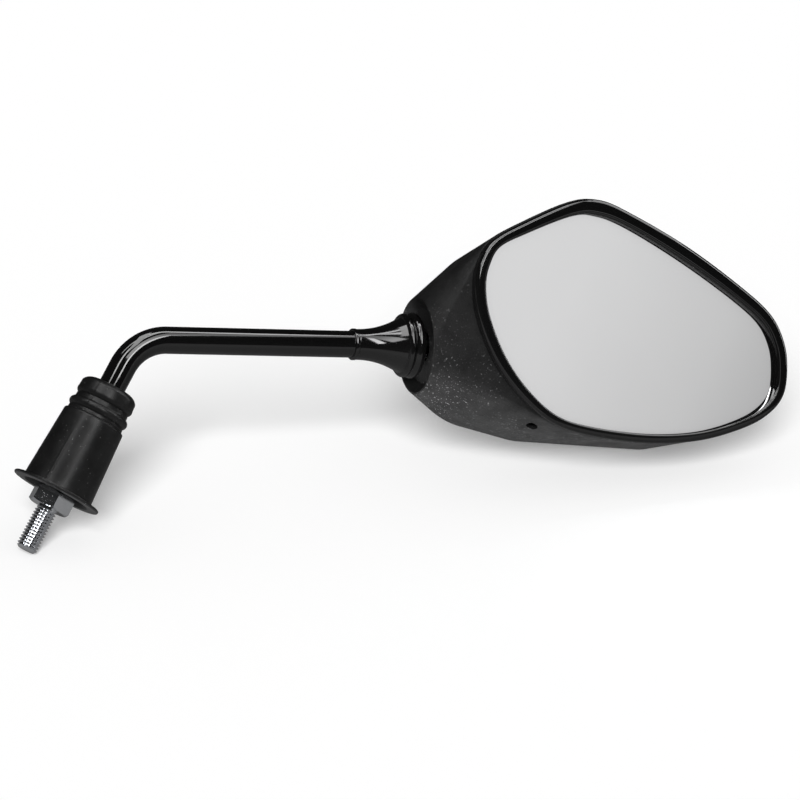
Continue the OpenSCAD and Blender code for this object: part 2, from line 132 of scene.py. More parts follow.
class Tree:
    # one node tree; add() makes any node from its type, settings and socket values
    def __init__(self, tree):
        self.tree = tree

    def num(self, value):
        node = self.tree.nodes.new("ShaderNodeValue")
        node.outputs[0].default_value = value
        return Val(self, node.outputs[0])

    def add(self, kind, settings=None, values=None, out=0):
        node = self.tree.nodes.new(kind)
        for key, value in (settings or {}).items():
            if key == "stops":
                ramp = node.color_ramp
                while len(ramp.elements) < len(value):
                    ramp.elements.new(0.5)
                for element, (position, level) in zip(ramp.elements, value):
                    element.position = position
                    element.color = (level, level, level, 1)
            else:
                setattr(node, key, value)
        pairs = values.items() if isinstance(values, dict) else enumerate(values or [])
        for key, value in pairs:
            self.put(node.inputs[key], value)
        if out is None:
            return node
        return Val(self, node.outputs[out])

    def put(self, socket, value):
        if isinstance(value, Val):
            self.tree.links.new(value.socket, socket)
        elif value is not None:
            socket.default_value = value

    def mix(self, amount, low, high):
        # the Mix node's colour sockets are its 7th and 8th inputs and its 3rd output
        return self.add("ShaderNodeMix", {"data_type": "RGBA"}, {0: amount, 6: low, 7: high}, out=2)

    def where(self, output="Object"):
        return self.add("ShaderNodeTexCoord", out=output)

    def noise(self, where, scale, detail=4.0, rough=0.55):
        values = {"Vector": where, "Scale": scale, "Detail": detail, "Roughness": rough}
        return self.add("ShaderNodeTexNoise", None, values)

    def ramp(self, value, stops):
        return self.add("ShaderNodeValToRGB", {"stops": stops}, {0: value})

    def bump(self, height, strength, distance):
        values = {"Strength": strength, "Distance": distance, "Height": height}
        return self.add("ShaderNodeBump", None, values)


def grey(level):
    return (level, level, level * 1.01, 1)


def newMaterial(name):
    material = bpy.data.materials.new(name)
    material.use_nodes = True
    material.node_tree.nodes.clear()
    tree = Tree(material.node_tree)
    shader = tree.add("ShaderNodeBsdfPrincipled", out=None)
    output = tree.add("ShaderNodeOutputMaterial", out=None)
    material.node_tree.links.new(shader.outputs[0], output.inputs["Surface"])
    return material, tree, shader


def finish(tree, shader, **sockets):
    names = {"colour": "Base Color", "rough": "Roughness", "metal": "Metallic", "normal": "Normal",
             "ior": "IOR", "coat": "Coat Weight", "coatRough": "Coat Roughness",
             "specular": "Specular IOR Level"}
    for key, value in sockets.items():
        tree.put(shader.inputs[names[key]], value)


def glossBlack(name, level, peel, rough=0.03, coatRough=0.02):
    # clear lacquer over black, with a slight orange peel and faint handling marks
    material, tree, shader = newMaterial(name)
    where = tree.where()
    wave = tree.noise(where, 210.0, 2.0)
    marks = tree.noise(where, 45.0, 5.0, 0.7)
    colour = tree.mix(marks, grey(level * 0.8), grey(level * 1.3))
    finish(tree, shader, colour=colour, rough=rough + 0.07 * marks, coat=0.4, coatRough=coatRough, ior=1.5,
           normal=tree.bump(wave, peel, 0.0002))
    return material


def brightZinc(name, streakAxis):
    # plated steel: fine turning lines across the axis, a little cloudy
    material, tree, shader = newMaterial(name)
    where = tree.where()
    cloud = tree.noise(where, 260.0, 5.0, 0.6)
    stretch = [60.0, 60.0, 60.0]
    stretch[streakAxis] = 5200.0
    turned = tree.add("ShaderNodeMapping", None, {"Vector": where, "Scale": stretch})
    lines = tree.noise(turned, 1.0, 2.0)
    colour = tree.mix(cloud, (0.70, 0.72, 0.75, 1), (0.92, 0.93, 0.95, 1))
    finish(tree, shader, colour=colour, metal=1.0, rough=0.03 + 0.09 * cloud,
           normal=tree.bump(lines, 0.05, 0.0001))
    return material


def moulded(name, low, high, rough, grainScale, grainDepth, speckle=0.0):
    # textured plastic: mottled colour, fine spark-eroded grain and pale specks
    material, tree, shader = newMaterial(name)
    where = tree.where()
    mottle = tree.noise(where, 70.0, 6.0, 0.7)
    grain = tree.add("ShaderNodeTexVoronoi", {"feature": "SMOOTH_F1"},
                     {"Vector": where, "Scale": grainScale, "Smoothness": 0.6})
    fine = tree.noise(where, grainScale * 1.9, 3.0, 0.6)
    colour = tree.mix(tree.ramp(mottle, [(0.34, 0.0), (0.68, 1.0)]), grey(low), grey(high))
    if speckle:
        dots = tree.noise(where, grainScale * 0.8, 2.0)
        zone = tree.noise(where, 38.0, 3.0)
        specks = tree.ramp(dots, [(0.63, 0.0), (0.72, 1.0)]) * tree.ramp(zone, [(0.42, 0.05), (0.6, 1.0)])
        colour = tree.mix(specks, colour, grey(speckle))
    height = 0.6 * grain + 0.4 * fine
    finish(tree, shader, colour=colour, rough=rough - 0.08 + 0.16 * mottle, specular=0.1,
           normal=tree.bump(height, 0.5, grainDepth))
    return material


def rubber(name):
    # satin rubber: smooth skin, dull patches, a little dust
    material, tree, shader = newMaterial(name)
    where = tree.where()
    patch = tree.noise(where, 70.0, 6.0, 0.7)
    fine = tree.noise(where, 1700.0, 3.0, 0.6)
    dots = tree.noise(where, 1100.0, 1.0)
    specks = tree.ramp(dots, [(0.73, 0.0), (0.77, 1.0)])
    skin = tree.mix(tree.ramp(patch, [(0.3, 0.0), (0.75, 1.0)]), grey(0.003), grey(0.008))
    colour = tree.mix(specks, skin, grey(0.09))
    finish(tree, shader, colour=colour, rough=0.26 + 0.16 * patch, specular=0.22,
           normal=tree.bump(0.5 * fine + 0.5 * patch, 0.2, 0.0002))
    return material


def mirrorSilver(name):
    # silvered glass: the silver behind, a clear polished face in front
    material, tree, shader = newMaterial(name)
    where = tree.where()
    haze = tree.noise(where, 12.0, 3.0)
    colour = tree.mix(haze, (0.81, 0.81, 0.815, 1), (0.86, 0.86, 0.865, 1))
    finish(tree, shader, colour=colour, metal=1.0, rough=0.03 + 0.02 * haze, coat=0.4, coatRough=0.02)
    return material


def nylon(name):
    material, tree, shader = newMaterial(name)
    where = tree.where()
    cloud = tree.noise(where, 120.0, 4.0)
    colour = tree.mix(cloud, (0.70, 0.69, 0.63, 1), (0.82, 0.81, 0.76, 1))
    finish(tree, shader, colour=colour, rough=0.38 + 0.15 * cloud, normal=tree.bump(cloud, 0.1, 0.0002))
    return material


def castAlloy(name):
    material, tree, shader = newMaterial(name)
    where = tree.where()
    skin = tree.noise(where, 900.0, 4.0, 0.6)
    cloud = tree.noise(where, 80.0, 3.0)
    colour = tree.mix(cloud, (0.42, 0.43, 0.44, 1), (0.58, 0.59, 0.6, 1))
    finish(tree, shader, colour=colour, metal=1.0, rough=0.38 + 0.18 * cloud,
           normal=tree.bump(skin, 0.4, 0.0002))
    return material


finishes = {
    "gloss_tube": glossBlack("tubeLacquer", 0.002, 0.03),
    "zinc_steel": brightZinc("zincSteel", 2),
    "boot_rubber": rubber("bootRubber"),
    "collar_gloss": glossBlack("collarGloss", 0.002, 0.03, 0.07, 0.06),
    "joint_nylon": nylon("jointNylon"),
    "socket_alloy": castAlloy("castAlloy"),
    "housing_plastic": moulded("housingGrain", 0.006, 0.011, 0.52, 1300.0, 0.0003, 0.07),
    "rim_gloss": glossBlack("rimGloss", 0.002, 0.02),
    "mirror_silver": mirrorSilver("mirrorSilver"),
    "pad_foam": moulded("padFoam", 0.07, 0.11, 0.85, 1500.0, 0.0003),
    "backing_plastic": moulded("backingPlastic", 0.035, 0.055, 0.5, 900.0, 0.00008),
}
for part in frame["record"]["subparts"]:
    mesh = nodes[part["node"]].data
    mesh.materials.clear()
    mesh.materials.append(finishes[part["material_slot"]])
print("finishes made:", len(finishes))


# Mesh helpers

def addMesh(name, points, faces, body, slot, crease=32):
    mesh = bpy.data.meshes.new(name)
    mesh.from_pydata([tuple(p) for p in points], [], faces)
    return addPiece(name, mesh, body, slot, crease)


def addPiece(name, mesh, body, slot, crease=32):
    form = bmesh.new()
    form.from_mesh(mesh)
    bmesh.ops.remove_doubles(form, verts=form.verts, dist=1e-7)
    bmesh.ops.recalc_face_normals(form, faces=form.faces)
    form.to_mesh(mesh)
    form.free()
    mesh.shade_smooth()
    mesh.set_sharp_from_angle(angle=radians(crease))
    mesh.materials.clear()
    mesh.materials.append(finishes[slot])
    piece = bpy.data.objects.new(name, mesh)
    scene.collection.objects.link(piece)
    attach(piece, body)
    return piece


def arc(centre, r, start, end, steps):
    angles = [radians(start + (end - start) * k / steps) for k in range(steps + 1)]
    return [(centre[0] + r * cos(angle), centre[1] + r * sin(angle)) for angle in angles]


def loopFaces(rows, count):
    # four-sided faces over a grid of points that closes on itself both ways
    faces = []
    for i in range(rows):
        for j in range(count):
            here, there = i * count, (i + 1) % rows * count
            after = (j + 1) % count
            faces.append((here + j, there + j, there + after, here + after))
    return faces


def turnedPoints(profile, steps, place, swell=None):
    # closed profile of (radius, height) in mm, turned round place's Z axis
    points = []
    for i in range(steps):
        angle = 2 * pi * i / steps
        for r, z in profile:
            if swell:
                r += swell(angle, r, z)
            points.append(place @ (Vector((r * cos(angle), r * sin(angle), z)) * mm))
    return points, loopFaces(steps, len(profile))


def alongArm(distance):
    # the long run's axis: Z runs from the stalk's corner out to the head
    return (Matrix.Translation(Vector((0, 0, stalk["legHeight"] * mm)))
            @ Matrix.Rotation(radians(90 - stalk["rise"]), 4, "Y")
            @ Matrix.Translation(Vector((0, 0, distance * mm))))


def plainMesh(piece):
    # the evaluated object as a mesh of its own, without its modifiers
    mesh = bpy.data.meshes.new_from_object(piece.evaluated_get(bpy.context.evaluated_depsgraph_get()))
    bpy.data.objects.remove(piece)
    return mesh


def geometryTree(name, inputs):
    group = bpy.data.node_groups.new(name, "GeometryNodeTree")
    group.interface.new_socket(name="Geometry", in_out="INPUT", socket_type="NodeSocketGeometry")
    group.interface.new_socket(name="Geometry", in_out="OUTPUT", socket_type="NodeSocketGeometry")
    keys = {}
    for label, (kind, value) in inputs.items():
        socket = group.interface.new_socket(name=label, in_out="INPUT", socket_type="NodeSocket" + kind)
        socket.default_value = value
        keys[label] = socket.identifier
    tree = Tree(group)
    entry = tree.add("NodeGroupInput", out=None)
    wires = {socket.name: Val(tree, socket) for socket in entry.outputs if socket.name}
    return group, tree, wires, keys


def closeTree(tree, geometry, material):
    whole = tree.add("GeometryNodeRealizeInstances", None, [geometry])
    painted = tree.add("GeometryNodeSetMaterial", None, {"Geometry": whole, "Material": material})
    tree.add("NodeGroupOutput", None, [painted], out=None)


def runTree(name, mesh, group, keys, values, extra=None):
    piece = bpy.data.objects.new(name, mesh)
    scene.collection.objects.link(piece)
    modifier = piece.modifiers.new(name, "NODES")
    modifier.node_group = group
    for label, value in values.items():
        modifier[keys[label]] = value
    if extra:
        extra(piece)
    return plainMesh(piece)


# Stalk tube

stalk = {
    "outer": 12.5, "wall": 1.8,
    "legHeight": 87.3,   # from the stud's seat up to the corner of the two axes
    "rise": 28.0,        # the long run's angle over level
    "bend": 23.6, "base": 11.0, "reach": 123.6,
    "bendSteps": 40, "roundSteps": 96,
}


def makeTube():
    group, tree, wires, keys = geometryTree("bentTube", {
        "Outer radius": ("Float", stalk["outer"] / 2 * mm), "Bend radius": ("Float", stalk["bend"] * mm),
        "Bend steps": ("Int", stalk["bendSteps"]), "Round steps": ("Int", stalk["roundSteps"])})
    path = tree.add("GeometryNodeMeshToCurve", None, {"Mesh": wires["Geometry"]})
    bent = tree.add("GeometryNodeFilletCurve", {"mode": "POLY"},
                    {"Curve": path, "Count": wires["Bend steps"], "Radius": wires["Bend radius"]})
    ring = tree.add("GeometryNodeCurvePrimitiveCircle", {"mode": "RADIUS"},
                    {"Resolution": wires["Round steps"], "Radius": wires["Outer radius"]})
    swept = tree.add("GeometryNodeCurveToMesh", None, {"Curve": bent, "Profile Curve": ring})
    closeTree(tree, swept, finishes["gloss_tube"])
    end = alongArm(stalk["reach"]).translation
    line = bpy.data.meshes.new("tubePath")
    foot, corner = (0, 0, stalk["base"] * mm), (0, 0, stalk["legHeight"] * mm)
    line.from_pydata([foot, corner, tuple(end)], [(0, 1), (1, 2)], [])

    def thicken(piece):
        wall = piece.modifiers.new("wall", "SOLIDIFY")
        wall.thickness = stalk["wall"] * mm
        wall.offset = -1

    mesh = runTree("stalkTube", line, group, keys, {"Outer radius": stalk["outer"] / 2 * mm}, thicken)
    piece = addPiece("stalkTube", mesh, "stalk", "gloss_tube", 40)
    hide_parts("arm_tube")


makeTube()
print("stalk tube made")


# Threaded stud

stud = {
    "major": 10.0, "minor": 8.2, "pitch": 1.5, "length": 21.0, "chamfer": 1.3,
    "shank": 9.2, "plugDepth": 22.0, "shoulder": 1.5,
    "roundSteps": 72, "lengthSteps": 224,
}
nut = {"soften": 0.22, "steps": 3, "edgeAngle": 25}


def makeStud():
    # a fine cylinder whose skin is pushed in and out by the thread's rule
    group, tree, wires, keys = geometryTree("rolledThread", {
        "Major radius": ("Float", 0.005), "Minor radius": ("Float", 0.0041), "Pitch": ("Float", 0.0015),
        "Length": ("Float", 0.021), "Chamfer": ("Float", 0.0013),
        "Round steps": ("Int", stud["roundSteps"]), "Length steps": ("Int", stud["lengthSteps"])})
    rod = tree.add("GeometryNodeMeshCylinder", {"fill_type": "TRIANGLE_FAN"}, {
        "Vertices": wires["Round steps"], "Side Segments": wires["Length steps"],
        "Radius": wires["Major radius"], "Depth": wires["Length"]})
    place = tree.add("GeometryNodeInputPosition")
    split = tree.add("ShaderNodeSeparateXYZ", None, [place], out=None)
    x, y, z = (Val(tree, socket) for socket in split.outputs)
    turn = y.math("ARCTAN2", x) / (2 * pi)
    depth = z + wires["Length"] / 2
    phase = (depth / wires["Pitch"] - turn).math("FRACT")
    crest = ((abs(phase - 0.5) * 2.0 - 0.12) / 0.78).clamp()
    fade = ((wires["Length"] - depth) / (wires["Pitch"] * 0.8)).clamp()
    full = wires["Minor radius"] + (wires["Major radius"] - wires["Minor radius"]) * crest * fade
    tip = wires["Major radius"] - wires["Chamfer"] + depth
    r = full.math("MINIMUM", tip)
    old = (x * x + y * y).math("SQRT")
    share = r / old.math("MAXIMUM", 1e-6)
    onSkin = old.over(0.001)
    scaled = tree.add("ShaderNodeCombineXYZ", None, [x * share, y * share, z])
    cut = tree.add("GeometryNodeSetPosition", None,
                   {"Geometry": rod, "Selection": onSkin, "Position": scaled})
    lower = tree.add("ShaderNodeCombineXYZ", None, [0.0, 0.0, wires["Length"] * -0.5])
    placed = tree.add("GeometryNodeTransform", None, {"Geometry": cut, "Translation": lower})
    closeTree(tree, placed, finishes["zinc_steel"])
    thread = runTree("studThread", bpy.data.meshes.new("studThread"), group, keys, {
        "Major radius": stud["major"] / 2 * mm, "Minor radius": stud["minor"] / 2 * mm,
        "Pitch": stud["pitch"] * mm, "Length": stud["length"] * mm, "Chamfer": stud["chamfer"] * mm})
    bore = stalk["outer"] / 2 - stalk["wall"]
    base = stalk["base"]
    shoulder = base - stud["shoulder"]
    shank, edge, top = stud["shank"] / 2, stalk["outer"] / 2 - 0.4, base + stud["plugDepth"]
    # axis, shank, the shoulder that closes the tube, then the plug pressed into its bore
    plug = [(0, -0.4), (shank, -0.4), (shank, shoulder), (edge, shoulder), (edge, base)]
    plug += [(bore - 0.02, base), (bore - 0.02, top - 1), (bore - 1, top), (0, top)]
    points, faces = turnedPoints(plug, stud["roundSteps"], Matrix.Identity(4))
    first = len(thread.vertices)
    allPoints = [v.co.copy() for v in thread.vertices] + points
    allFaces = [tuple(p.vertices) for p in thread.polygons] + [tuple(first + k for k in f) for f in faces]
    piece = addMesh("threadedStud", allPoints, allFaces, "stalk", "zinc_steel", 38)
    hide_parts("mount_stud")


makeStud()


def softenNut():
    # the nut is the CAD piece itself, with its sharp edges rounded a little
    edges = nodes["lock_nut"].modifiers.new("softEdges", "BEVEL")
    edges.width = nut["soften"] * mm
    edges.segments = nut["steps"]
    edges.limit_method = "ANGLE"
    edges.angle_limit = radians(nut["edgeAngle"])


softenNut()
print("threaded stud and nut made")


# Rubber boot

boot = {
    "base": 8.0, "height": 54.5, "flange": 21.15, "flangeThick": 1.4, "low": 16.7, "top": 14.75,
    "wall": 2.1, "grip": 4.6, "rib": 2.4, "shoulder": 4.7, "tube": 6.25, "play": 0.05, "roundSteps": 240,
    # the height of the plain body as a share, then how far above it the two ribs' middles lie
    "bodyShare": 0.683, "lowRib": 4.2, "highRib": 10.7,
    # the ridge where the mould halves meet
    "seamAngle": 231.0, "seamHeight": 0.16, "seamSpread": 2.6,
}


def makeBoot():
    b = boot
    body = b["height"] * b["bodyShare"]
    groove = b["top"] - 1
    lowRib, highRib = body + b["lowRib"], body + b["highRib"]
    grip = b["tube"] + b["play"]
    profile = [(b["low"] - b["wall"] + 1.4, 0)]
    profile += arc((b["flange"] - 0.75, 0.75), 0.75, -90, 90, 10)
    profile += arc((b["low"] + 0.9, b["flangeThick"] + 0.95), 0.9, 268, 182, 5)
    for k in range(1, 11):
        profile.append((b["low"] + (b["top"] - b["low"]) * k / 10, 2.4 + (body - 3.2) * k / 10))
    profile += arc((b["top"] - 0.9, body - 0.7), 0.85, 8, 80, 5)
    profile += [(groove - 0.2, body + 0.5), (groove - 0.2, lowRib - b["rib"] - 0.2)]
    profile += arc((groove - b["rib"] + 0.7, lowRib), b["rib"], -60, 60, 16)
    profile += [(groove - 0.9, lowRib + b["rib"] + 0.3), (groove - 0.9, highRib - b["rib"] - 0.3)]
    profile += arc((groove - b["rib"], highRib), b["rib"], -60, 20, 12)
    profile += arc((groove - b["shoulder"] + 0.1, b["height"] - b["shoulder"]), b["shoulder"], 25, 85, 12)
    # the lip that grips the tube, then down the inside
    profile += [(b["tube"] + 1, b["height"] + 0.2), (b["tube"] + 0.4, b["height"]), (grip, b["height"] - 0.6)]
    profile += [(grip, b["height"] - b["grip"]), (b["tube"] + 2, b["height"] - b["grip"])]
    profile += [(groove - b["wall"] - 1.4, highRib - 1), (groove - b["wall"] - 1.4, body + 3)]
    profile += [(b["top"] - b["wall"], body - 2), (b["low"] - b["wall"], b["flangeThick"] + 1)]

    def seam(angle, r, z):
        # two mould halves meet in a fine ridge
        near = min(abs((angle - radians(b["seamAngle"]) + k * pi + pi) % (2 * pi) - pi) for k in (0, 1))
        outside = r > b["low"] - b["wall"] + 0.9 or z > body + 1 and r > groove - 2
        if not outside or z >= b["height"] - 1:
            return 0.0
        return b["seamHeight"] * max(0.0, 1 - near / radians(b["seamSpread"]))

    place = Matrix.Translation(Vector((0, 0, b["base"] * mm)))
    points, faces = turnedPoints(profile, b["roundSteps"], place, seam)
    piece = addMesh("rubberBoot", points, faces, "boot", "boot_rubber", 50)
    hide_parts("rubber_boot")


makeBoot()
print("rubber boot made")


# Collar

trumpet = {
    "start": 104.5, "length": 32.4, "small": 7.4, "mouth": 15.5, "wall": 2.2, "bead": 1.75, "ring": 2.4,
    "beadBack": 6.5, "play": 0.03, "flare": 2.1, "bellSteps": 28, "roundSteps": 144,
}


def makeCollar():
    c = trumpet
    small, mouth, length = c["small"], c["mouth"], c["length"]
    hollow = stalk["outer"] / 2 + c["play"]
    # a small lip, the bell, the bead, the ring at the mouth, then back through the hollow
    profile = [(small - 0.4, 0), (small - 0.15, 0.08), (small, 0.35), (small, 1.6)]
    profile += [(small - 0.08, 1.85), (small - 0.25, 2)]
    bell = length - c["beadBack"] - 4.3
    for k in range(c["bellSteps"] + 1):
        share = k / c["bellSteps"]
        profile.append((small - 0.2 + (mouth - 2.4 - small) * share ** c["flare"], 2.4 + bell * share))
    profile += arc((mouth - 0.5 - c["bead"], length - c["beadBack"]), c["bead"], -70, 62, 18)
    profile += arc((mouth - c["ring"], length - c["ring"] - 0.1), c["ring"], -55, 80, 20)
    inside = mouth - c["ring"] - c["wall"]
    profile += [(mouth - c["ring"], length), (mouth - c["ring"] - 0.8, length), (inside + 0.6, length - 2)]
    profile += [(inside, length - 7), (hollow, length - 15), (hollow, 0)]
    points, faces = turnedPoints(profile, c["roundSteps"], alongArm(c["start"]))
    piece = addMesh("flaredCollar", points, faces, "stalk", "collar_gloss", 38)
    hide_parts("collar")


makeCollar()
print("collar made")


# Rim

rim = {
    "width": 170.1, "height": 107.6, "depth": 5.6, "face": 6.6, "corner": 2.3, "steps": 16,
    # the outline's middle and the front, from the ball
    "out": 66.7, "up": 41.1, "front": 29.1,
    # how deep the glass lies, its thickness, the rim's lap on it, the housing's wall, the pad behind
    "sink": 4.2, "glass": 2.0, "lap": 1.8, "shell": 2.4, "pad": 0.9,
    "lean": 8,           # degrees by which the face leans outward, so its crest runs along the inner lip
    "lip": 1.55,         # radius of the inner lip
}
ballReach = 156.4
ballCentre = alongArm(ballReach).translation
# outline as shares of half the width and height, with the share of the full face width
rimShape = [
    (0.487, 0.947, 1.06), (0.08, 0.998, 1.13), (-0.31, 0.982, 1.07), (-0.529, 0.932, 1.19),
    (-0.68, 0.77, 1.01), (-0.877, 0.379, 0.83), (-0.982, 0.118, 0.73), (-0.998, -0.108, 0.83),
    (-0.956, -0.319, 0.85), (-0.844, -0.558, 0.88), (-0.643, -0.8, 0.85), (-0.414, -0.946, 0.72),
    (-0.18, -1, 0.63), (0.053, -0.925, 0.66), (0.382, -0.716, 0.68), (0.658, -0.452, 0.66),
    (0.865, -0.149, 0.67), (0.968, 0.085, 0.74), (1, 0.3, 0.89), (0.953, 0.523, 0.98),
    (0.862, 0.722, 1), (0.715, 0.875, 1.03)]


def curvePoint(a, b, c, d, t):
    return (2 * b + (c - a) * t + (2 * a - 5 * b + 4 * c - d) * t * t + (3 * b - a - 3 * c + d) * t ** 3) / 2


def smoothLoop(shape, steps):
    rows = [Vector(row) for row in shape]
    n = len(rows)
    return [curvePoint(rows[i - 1], rows[i], rows[(i + 1) % n], rows[(i + 2) % n], k / steps)
            for i in range(n) for k in range(steps)]


rimCurve = smoothLoop(rimShape, rim["steps"])
rimLoop = []
for share in rimCurve:
    across, high = share[0] * rim["width"] / 2, share[1] * rim["height"] / 2
    rimLoop.append(Vector((rim["out"] + across, rim["up"] + high)))
rimNormals = []
for i, point in enumerate(rimLoop):
    along = rimLoop[(i + 1) % len(rimLoop)] - rimLoop[i - 1]
    rimNormals.append(Vector((along[1], -along[0])).normalized())


def rimInset(distance):
    rows = zip(rimLoop, rimNormals, rimCurve)
    return [point - normal * distance * share[2] for point, normal, share in rows]


def headPoint(x, y, z):
    return ballCentre + Vector((x, y, z)) * mm


def makeRim():
    front = -rim["front"]
    foot = front + rim["depth"]
    tongue = rim["shell"] + 0.35
    face = rim["face"]
    lip = face + 0.3
    edge = lip - rim["lap"] - 0.15
    glassFront = front + rim["sink"]
    backing = glassFront + rim["glass"] + rim["pad"]
    corner, lipRound = rim["corner"], rim["lip"]
    slope = 270 - rim["lean"]
    start = 0.3 + corner + corner * cos(radians(slope))
    stop = face - 1.5 + lipRound * cos(radians(slope))
    fall = (stop - start) * tan(radians(rim["lean"])) + (lipRound - corner) * (1 + sin(radians(slope)))
    section = [(0.55, foot - 0.05), (0.3, foot - 0.3), (0.3, front + corner + fall + 0.3)]
    section += arc((0.3 + corner, front + corner + fall), corner, 180, slope, 18)
    section += arc((face - 1.5, front + lipRound), lipRound, slope, 350, 12)
    section += [(lip, front + 2.4), (lip, glassFront - 0.05), (edge, glassFront - 0.05)]
    section += [(edge, glassFront + rim["glass"]), (tongue + 1.4, backing), (tongue + 1.4, foot + 2.2)]
    section += [(tongue + 0.4, foot + 2.8), (tongue, foot + 2.2), (tongue, foot - 0.05)]
    points = [headPoint(p[0], depth, p[1]) for inset, depth in section for p in rimInset(inset)]
    faces = loopFaces(len(section), len(rimLoop))
    piece = addMesh("glossRim", points, faces, "head", "rim_gloss", 34)
    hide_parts("bezel")


makeRim()
print("rim made")


# Housing

shell = {
    "wall": 2.4, "edge": 0.6, "boss": 4.2, "bossBore": 1.85, "roundSteps": 96,
    # the dished seat where the collar meets the head, measured along the arm from the ball
    "seatRadius": 22.8, "seatReach": 19.4, "seatDepth": 3.7, "floorThick": 3.7, "floorRadius": 17.7,
    "neckHole": 7.8,
    "drain": 4.6, "drainPlace": (46.62, -17.3, -17.13), "drainTurn": (140, -80), "drainShare": 0.13,
    "drainDepth": 4.8,
    # corners of the lower crease: outward, depth, upward from the ball
    "creaseRadius": 0.8,
    "crease": [(-5.2, -2.8, -29.0), (6.0, -7.8, -26.9), (23.0, -10.6, -23.4), (43.5, -12.0, -19.3),
               (62.7, -10.5, -14.3)],
    # round forms of the back: outward, upward, radius; the edge of the back is rounded in steps
    "backDepth": 23.6, "backStraight": 12.74, "backRound": 17.94, "backSteps": 6,
    "forms": [(16.4, 5.3, 35.6), (42.0, 8.4, 32.3), (101.1, 29.6, 26.5), (117.8, 40.9, 18.2),
              (101.8, 67.6, 16.4), (54.5, 62.7, 18.2), (8.6, 26.6, 26.1)],
    # outward and upward from the middle of the glass
    "bosses": [(-56.0, 20.1), (-7.0, -34.5), (43.5, -16.3), (60.0, 31.0)],
}
armTurn = Matrix.Rotation(radians(90 - stalk["rise"]), 4, "Y")


def ringPoints(centre, r, steps, turn=None):
    ring = [Vector((r * cos(2 * pi * k / steps), 0, r * sin(2 * pi * k / steps))) for k in range(steps)]
    if turn:
        ring = [turn @ Vector((p[0], p[2], 0)) for p in ring]
    return [centre + p for p in ring]


def hullMesh(points):
    form = bmesh.new()
    for p in points:
        form.verts.new(p * mm + ballCentre)
    result = bmesh.ops.convex_hull(form, input=form.verts)
    spare = [v for v in form.verts if not v.link_faces]
    bmesh.ops.delete(form, geom=spare, context="VERTS")
    bmesh.ops.recalc_face_normals(form, faces=form.faces)
    mesh = bpy.data.meshes.new("hull")
    form.to_mesh(mesh)
    form.free()
    return mesh


def shellForm(less):
    # the outer form, or the same drawn smaller all round by less
    steps = shell["roundSteps"]
    front = -rim["front"] + rim["depth"] + less
    edge = shell["edge"] if less == 0 else 0
    points = [Vector((p[0], front, p[1])) for p in rimInset(0.1 + less + edge)]
    for p in rimInset(0.1 + less):
        points += [Vector((p[0], front + edge, p[1])), Vector((p[0], front + 0.8, p[1]))]
    for along in (less - shell["seatReach"], less - shell["seatReach"] + 1):
        points += ringPoints(armTurn @ Vector((0, 0, along)), shell["seatRadius"] - less, steps, armTurn)
    for x, y, z in shell["crease"]:
        for side in (-0.05, 0.05):
            corner = Vector((x, y + 0.65 * less + side, z + 0.9 * less))
            points += ringPoints(corner, shell["creaseRadius"], 24)
    for k in range(shell["backSteps"] + 1):
        turn = radians(90 * k / shell["backSteps"])
        depth = shell["backStraight"] + (shell["backDepth"] - less - shell["backStraight"]) * sin(turn)
        for x, z, r in shell["forms"]:
            radius = max(r - less - shell["backRound"] * (1 - cos(turn)), 1)
            points += ringPoints(Vector((x, depth, z)), radius, steps)
    return hullMesh(points)


def openingForm():
    # straight walls where the rim's tongue goes in
    front = -rim["front"] + rim["depth"]
    return hullMesh([Vector((p[0], depth, p[1])) for p in rimInset(0.1 + shell["wall"])
                     for depth in (front - 1, front + shell["wall"] + 0.4)])


def rodMesh(radius, start, end, place, endRadius=None, steps=64):
    form = bmesh.new()
    middle = place @ Matrix.Translation(Vector((0, 0, (start + end) / 2 * mm)))
    bmesh.ops.create_cone(form, cap_ends=True, segments=steps, radius1=radius * mm,
                          radius2=(endRadius or radius) * mm, depth=(end - start) * mm, matrix=middle)
    mesh = bpy.data.meshes.new("rod")
    form.to_mesh(mesh)
    form.free()
    return mesh


def combine(base, mesh, operation):
    # one boolean step on plain meshes
    body = bpy.data.objects.new("body", base)
    tool = bpy.data.objects.new("tool", mesh)
    for item in (body, tool):
        scene.collection.objects.link(item)
    step = body.modifiers.new("step", "BOOLEAN")
    step.operation = operation
    step.solver = "MANIFOLD"
    step.object = tool
    result = plainMesh(body)
    bpy.data.objects.remove(tool)
    return result


